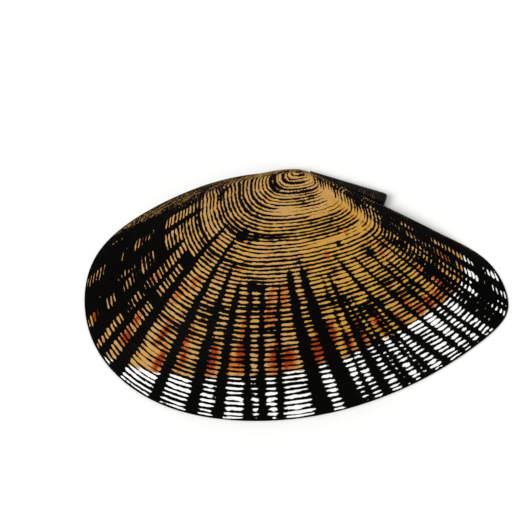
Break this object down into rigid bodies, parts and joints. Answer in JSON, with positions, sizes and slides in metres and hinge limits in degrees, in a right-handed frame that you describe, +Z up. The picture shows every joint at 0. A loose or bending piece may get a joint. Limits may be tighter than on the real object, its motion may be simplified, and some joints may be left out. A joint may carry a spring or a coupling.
{
  "type": "clam shell",
  "caption": "Rayed clam valve: shallow oval dome with concentric growth ridges, round front end, pointed hind end and hollow underside, with the dried ligament behind its beak.",
  "frame": {"origin": "under the middle of the part's box, on the surface that the rim rests on", "axes": "+X from the round front end to the pointed hind end, +Y from the open edge to the hinge line, +Z up through the back of the valve"},
  "size_m": [0.0702, 0.0434, 0.0097],
  "materials": {
    "shell": "satin, rayed and lined in black, glossy inside",
    "ligament": "matt, horny"
  },
  "bodies": {
    "root": {"valve": "shell", "ligament": "ligament"}
  },
  "joints": []
}
